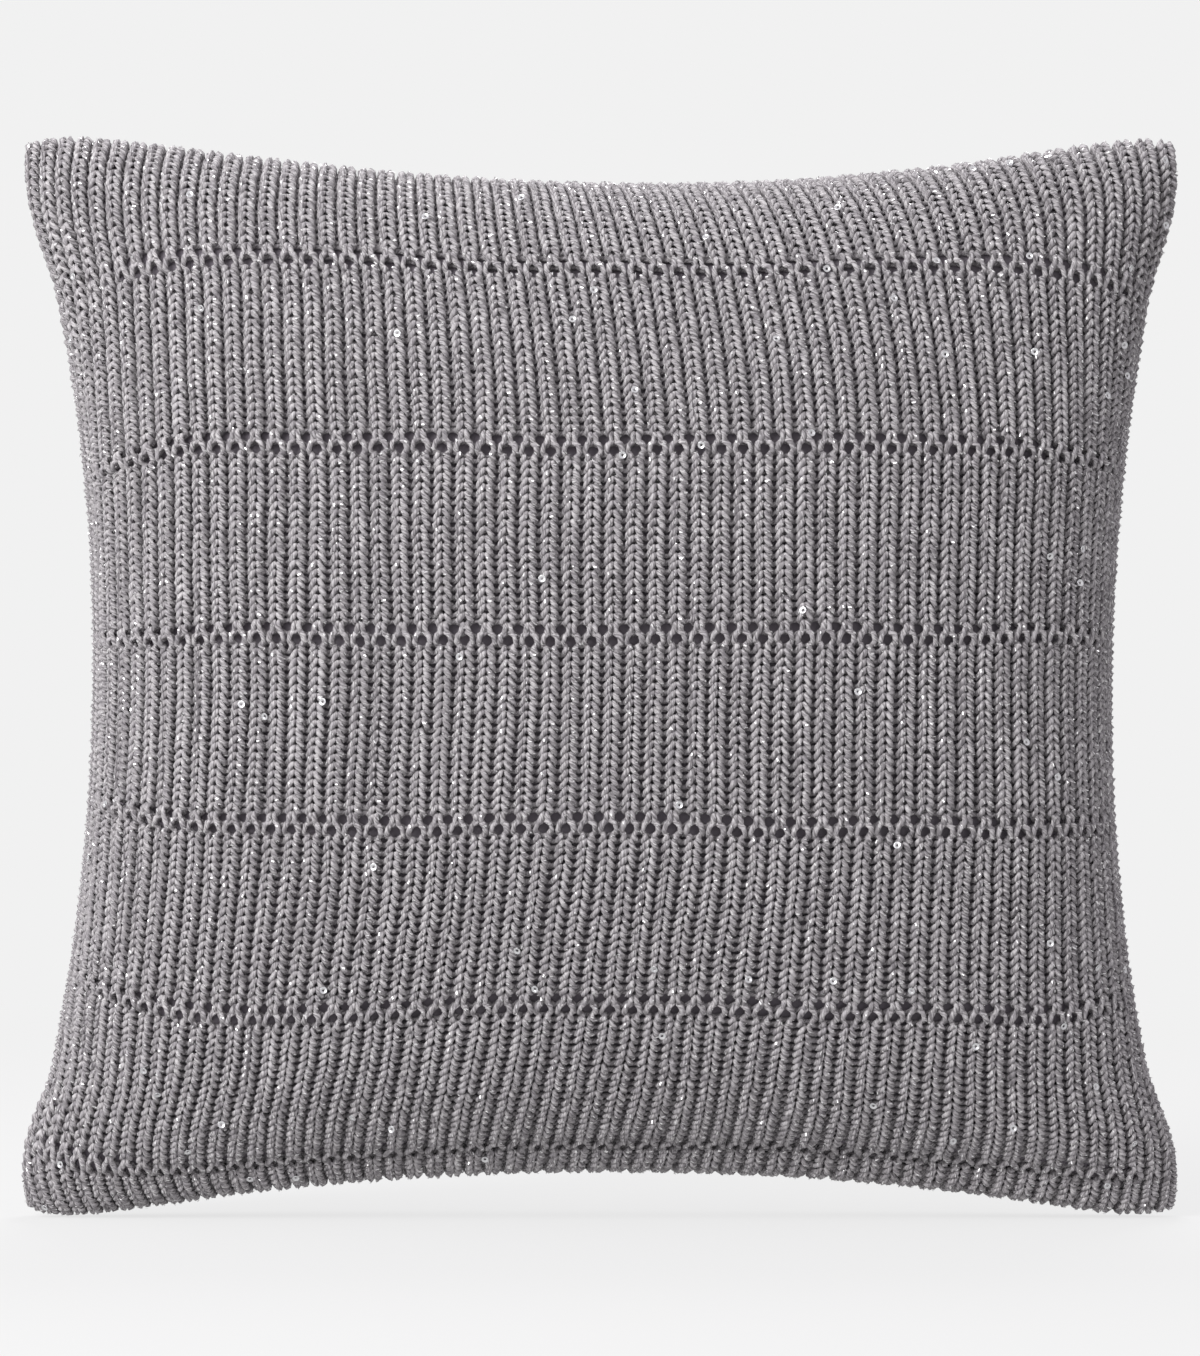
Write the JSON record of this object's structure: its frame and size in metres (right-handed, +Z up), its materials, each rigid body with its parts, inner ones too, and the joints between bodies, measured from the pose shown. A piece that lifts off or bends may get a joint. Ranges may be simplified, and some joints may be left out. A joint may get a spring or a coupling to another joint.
{
  "type": "throw pillow",
  "caption": "Square throw pillow: grey rib-knit cover with rows of eyelets and ring sequins, dark lining, stuffed insert and a concealed zip.",
  "frame": {"origin": "on the surface that the pillow stands on, under the middle of its bounding box", "axes": "the pillow stands upright on its two bottom corners: +Z up, the front faces -Y, +X is to the right seen from the front"},
  "size_m": [0.4902, 0.1504, 0.4549],
  "materials": {
    "grey_knit": "matte",
    "grey_thread": "matte",
    "silver_sequin": "gloss",
    "dark_lining": "matte",
    "white_ticking": "matte",
    "white_fibre": "matte",
    "grey_tape": "matte",
    "grey_nylon": "satin",
    "zip_metal": "satin"
  },
  "bodies": {
    "pillow": {"knitted_cover": "grey_knit", "side_seam_thread_left": "grey_thread", "side_seam_thread_right": "grey_thread", "sequins_front": "silver_sequin", "sequins_back": "silver_sequin", "lining_front": "dark_lining", "lining_back": "dark_lining", "insert_case_front": "white_ticking", "insert_case_back": "white_ticking", "insert_fill": "white_fibre", "insert_seam_thread": "white_ticking", "care_label": "white_ticking", "zip_tape_front": "grey_tape", "zip_tape_back": "grey_tape", "zip_stitching": "grey_thread", "zip_teeth_front": "grey_nylon", "zip_teeth_back": "grey_nylon", "zip_top_stops": "zip_metal", "zip_bottom_stops": "zip_metal"},
    "slider": {"zip_slider": "zip_metal"},
    "pull": {"zip_pull": "zip_metal"}
  },
  "joints": [
    {"name": "zip_travel", "type": "slide", "parent": "pillow", "child": "slider", "axis": [-1, 0, 0], "range_m": [0, 0.28]},
    {"name": "pull_swing", "type": "hinge", "parent": "slider", "child": "pull", "pos_m": [0.141, 0, 0.02485], "axis": [0, -1, 0], "range_deg": [0, 170]}
  ]
}
